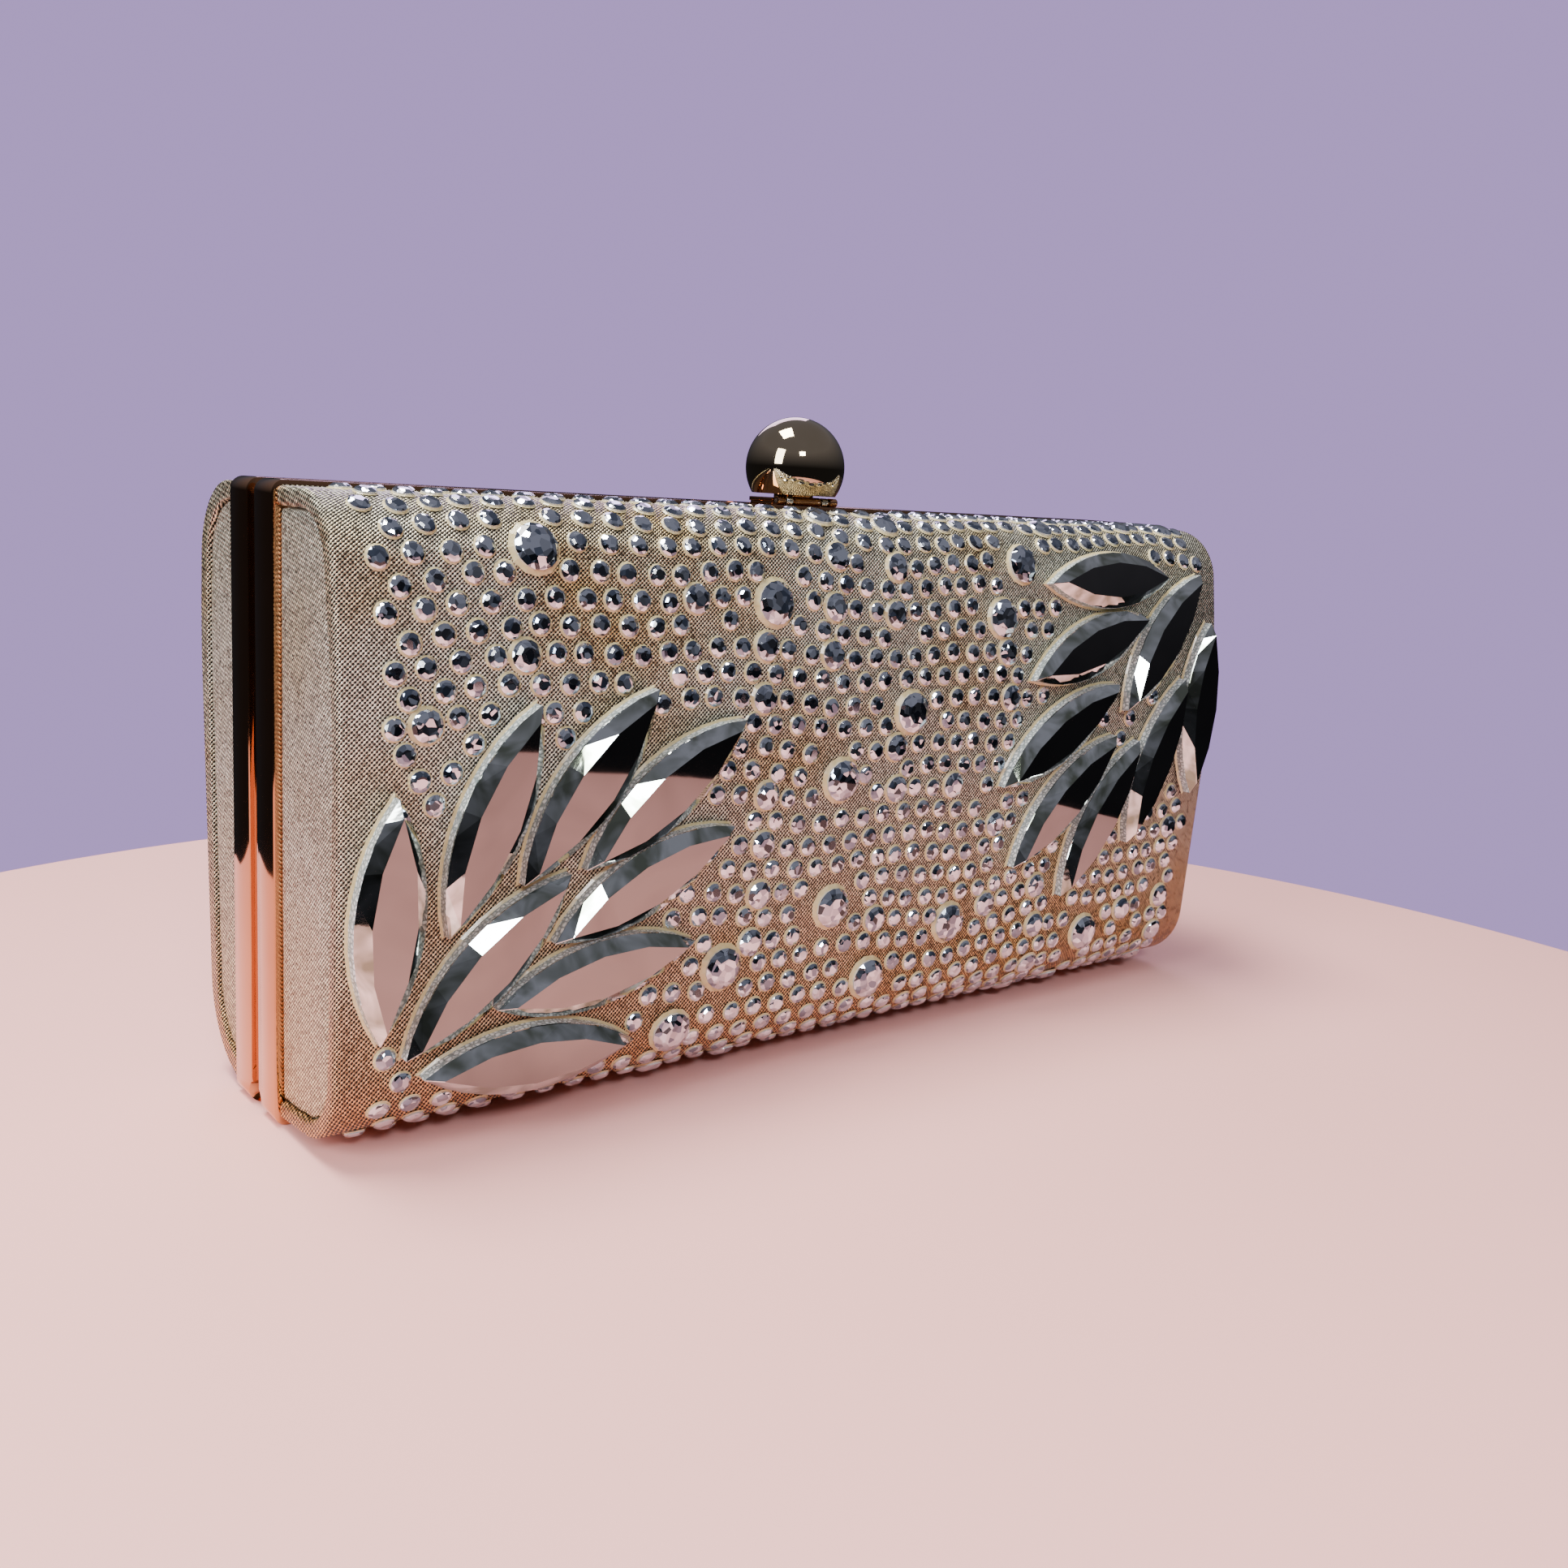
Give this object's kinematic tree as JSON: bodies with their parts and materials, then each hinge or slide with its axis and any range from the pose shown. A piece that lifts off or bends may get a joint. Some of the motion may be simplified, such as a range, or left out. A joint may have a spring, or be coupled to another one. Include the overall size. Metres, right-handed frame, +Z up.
{
  "type": "evening bag",
  "caption": "Hard-case evening clutch with a hinged gold metal frame, ball clasp, metallic fabric shells and a front set with round and pointed flat-back crystals.",
  "frame": {"origin": "centre of the bag's outline in X and Y, on the surface that the frame stands on", "axes": "+X along the bag to the right seen from the front, -Y towards the crystal-set front, +Z up"},
  "size_m": [0.196, 0.0589, 0.1127],
  "materials": {
    "gold_metal": "polished rose gold plate",
    "hinge_brass": "satin",
    "steel": "satin",
    "board": "matte",
    "metallic_fabric": "pale gold metallic twill",
    "panel_fabric": "champagne metallic twill over thin padding",
    "lining_satin": "satin",
    "mirror_glass": "foil-backed cut glass",
    "crystal": "foil-backed cut glass"
  },
  "bodies": {
    "back_half": {"back_frame": "gold_metal", "back_shell": "board", "back_cover": "metallic_fabric", "back_end_panel_left": "panel_fabric", "back_end_panel_right": "panel_fabric", "back_lining": "lining_satin", "back_hinge_leaf": "hinge_brass", "back_hinge_rivets": "hinge_brass", "hinge_pin": "steel", "chain_lugs": "gold_metal", "catch_plate": "gold_metal"},
    "front_half": {"front_frame": "gold_metal", "front_shell": "board", "front_cover": "metallic_fabric", "front_end_panel_left": "panel_fabric", "front_end_panel_right": "panel_fabric", "front_lining": "lining_satin", "front_hinge_leaf": "hinge_brass", "front_hinge_rivets": "hinge_brass", "clasp_bracket": "gold_metal", "clasp_rivets": "hinge_brass", "clasp_pin": "steel", "clasp_spring": "steel", "lower_navettes": "mirror_glass", "upper_navettes": "mirror_glass", "large_crystals": "crystal", "medium_crystals": "crystal", "small_crystals": "crystal"},
    "clasp": {"clasp_lever": "gold_metal", "ball_stud": "gold_metal", "ball_knob": "gold_metal"}
  },
  "joints": [
    {"name": "opening", "type": "hinge", "parent": "back_half", "child": "front_half", "pos_m": [0, 0.00516, 0.0017], "axis": [1, 0, 0], "range_deg": [0, 75]},
    {"name": "clasp_tilt", "type": "hinge", "parent": "front_half", "child": "clasp", "pos_m": [0, -0.00219, 0.0978], "axis": [1, 0, 0], "range_deg": [0, 10], "stiffness_Nm_per_rad": 0.1, "springref_deg": -5.73}
  ]
}
